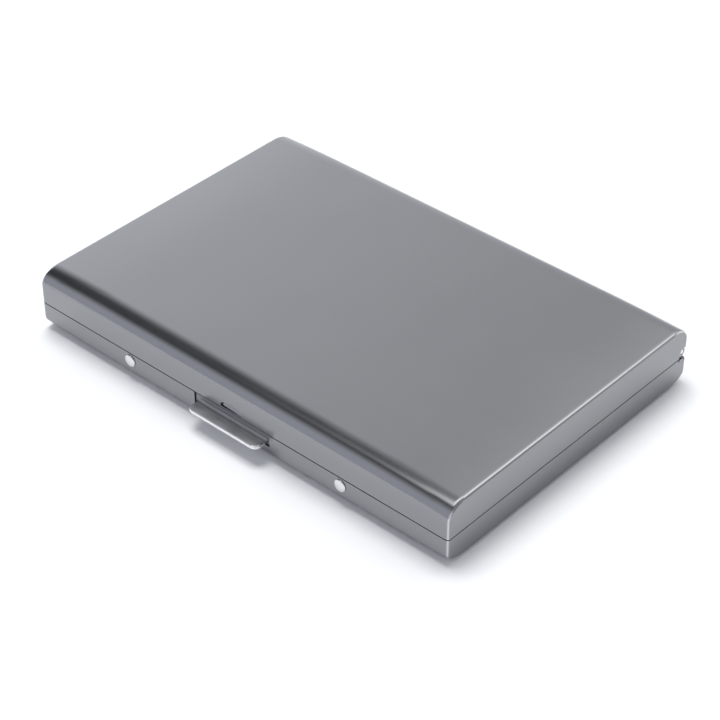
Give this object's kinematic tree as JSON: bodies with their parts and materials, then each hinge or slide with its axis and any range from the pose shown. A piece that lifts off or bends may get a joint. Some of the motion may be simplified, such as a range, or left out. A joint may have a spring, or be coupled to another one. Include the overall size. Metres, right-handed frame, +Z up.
{
  "type": "business card case",
  "caption": "Slim steel card case: two pressed shells on a long rear hinge, a spring latch with a thumb tab, and card pockets that fan out as it opens.",
  "frame": {"origin": "centre of the base's flat underside, case closed", "axes": "+X along the hinge, +Y from the latch to the hinge, +Z up through the lid"},
  "size_m": [0.098, 0.0691, 0.0129],
  "materials": {
    "gunmetal_steel": "satin dark grey steel, very fine brushing along the length",
    "plain_steel": "plain satin steel",
    "polished_steel": "polished",
    "pocket_board": "fine leather-like grain",
    "pocket_film": "thin satin film"
  },
  "bodies": {
    "base": {"lower_shell": "gunmetal_steel", "lower_hinge_leaf": "plain_steel", "hinge_pin": "polished_steel", "latch_strip": "plain_steel", "latch_pin": "polished_steel", "latch_spring": "plain_steel", "rivet_left": "polished_steel", "rivet_right": "polished_steel", "base_board": "pocket_board", "gusset_right_1": "pocket_film", "gusset_left_1": "pocket_film", "spine_fold_1": "pocket_film"},
    "lid": {"upper_shell": "gunmetal_steel", "upper_hinge_leaf": "plain_steel"},
    "latch": {"latch_lever": "plain_steel", "latch_hook": "plain_steel"},
    "divider_1": {"divider_1": "pocket_board", "gusset_right_2": "pocket_film", "gusset_left_2": "pocket_film", "spine_fold_2": "pocket_film"},
    "divider_2": {"divider_2": "pocket_board", "gusset_right_3": "pocket_film", "gusset_left_3": "pocket_film", "spine_fold_3": "pocket_film"},
    "divider_3": {"divider_3": "pocket_board", "gusset_right_4": "pocket_film", "gusset_left_4": "pocket_film", "spine_fold_4": "pocket_film"},
    "divider_4": {"divider_4": "pocket_board", "gusset_right_5": "pocket_film", "gusset_left_5": "pocket_film", "spine_fold_5": "pocket_film"},
    "divider_5": {"divider_5": "pocket_board", "gusset_right_6": "pocket_film", "gusset_left_6": "pocket_film", "spine_fold_6": "pocket_film"},
    "lid_board": {"lid_board": "pocket_board"}
  },
  "joints": [
    {"name": "lid_hinge", "type": "hinge", "parent": "base", "child": "lid", "pos_m": [0, 0.0322, 0.0068], "axis": [-1, 0, 0], "range_deg": [0, 110], "deforming": ["latch_hook"]},
    {"name": "latch_pivot", "type": "hinge", "parent": "base", "child": "latch", "pos_m": [0, -0.0312, 0.0043], "axis": [-1, 0, 0], "range_deg": [0, 12], "stiffness_Nm_per_rad": 0.02, "springref_deg": -17.19, "deforming": ["latch_spring"]},
    {"name": "divider_1_turn", "type": "hinge", "parent": "base", "child": "divider_1", "pos_m": [0, 0.0322, 0.0068], "axis": [-1, 0, 0], "range_deg": [0, 18.5], "deforming": ["gusset_right_1", "gusset_left_1", "spine_fold_1"]},
    {"name": "divider_2_turn", "type": "hinge", "parent": "divider_1", "child": "divider_2", "pos_m": [0, 0.0322, 0.0068], "axis": [-1, 0, 0], "range_deg": [0, 18.5], "deforming": ["gusset_right_2", "gusset_left_2", "spine_fold_2"]},
    {"name": "divider_3_turn", "type": "hinge", "parent": "divider_2", "child": "divider_3", "pos_m": [0, 0.0322, 0.0068], "axis": [-1, 0, 0], "range_deg": [0, 18.5], "deforming": ["gusset_right_3", "gusset_left_3", "spine_fold_3"]},
    {"name": "divider_4_turn", "type": "hinge", "parent": "divider_3", "child": "divider_4", "pos_m": [0, 0.0322, 0.0068], "axis": [-1, 0, 0], "range_deg": [0, 18.5], "deforming": ["gusset_right_4", "gusset_left_4", "spine_fold_4"]},
    {"name": "divider_5_turn", "type": "hinge", "parent": "divider_4", "child": "divider_5", "pos_m": [0, 0.0322, 0.0068], "axis": [-1, 0, 0], "range_deg": [0, 18.5], "deforming": ["gusset_right_5", "gusset_left_5", "spine_fold_5"]},
    {"name": "lid_board_turn", "type": "hinge", "parent": "divider_5", "child": "lid_board", "pos_m": [0, 0.0322, 0.0068], "axis": [-1, 0, 0], "range_deg": [0, 18.5], "deforming": ["gusset_right_6", "gusset_left_6", "spine_fold_6"]}
  ],
  "couplings": [
    {"joint": "divider_1_turn", "follows": "lid_hinge", "ratio": 0.16667},
    {"joint": "divider_2_turn", "follows": "lid_hinge", "ratio": 0.16667},
    {"joint": "divider_3_turn", "follows": "lid_hinge", "ratio": 0.16667},
    {"joint": "divider_4_turn", "follows": "lid_hinge", "ratio": 0.16667},
    {"joint": "divider_5_turn", "follows": "lid_hinge", "ratio": 0.16667},
    {"joint": "lid_board_turn", "follows": "lid_hinge", "ratio": 0.16667}
  ]
}
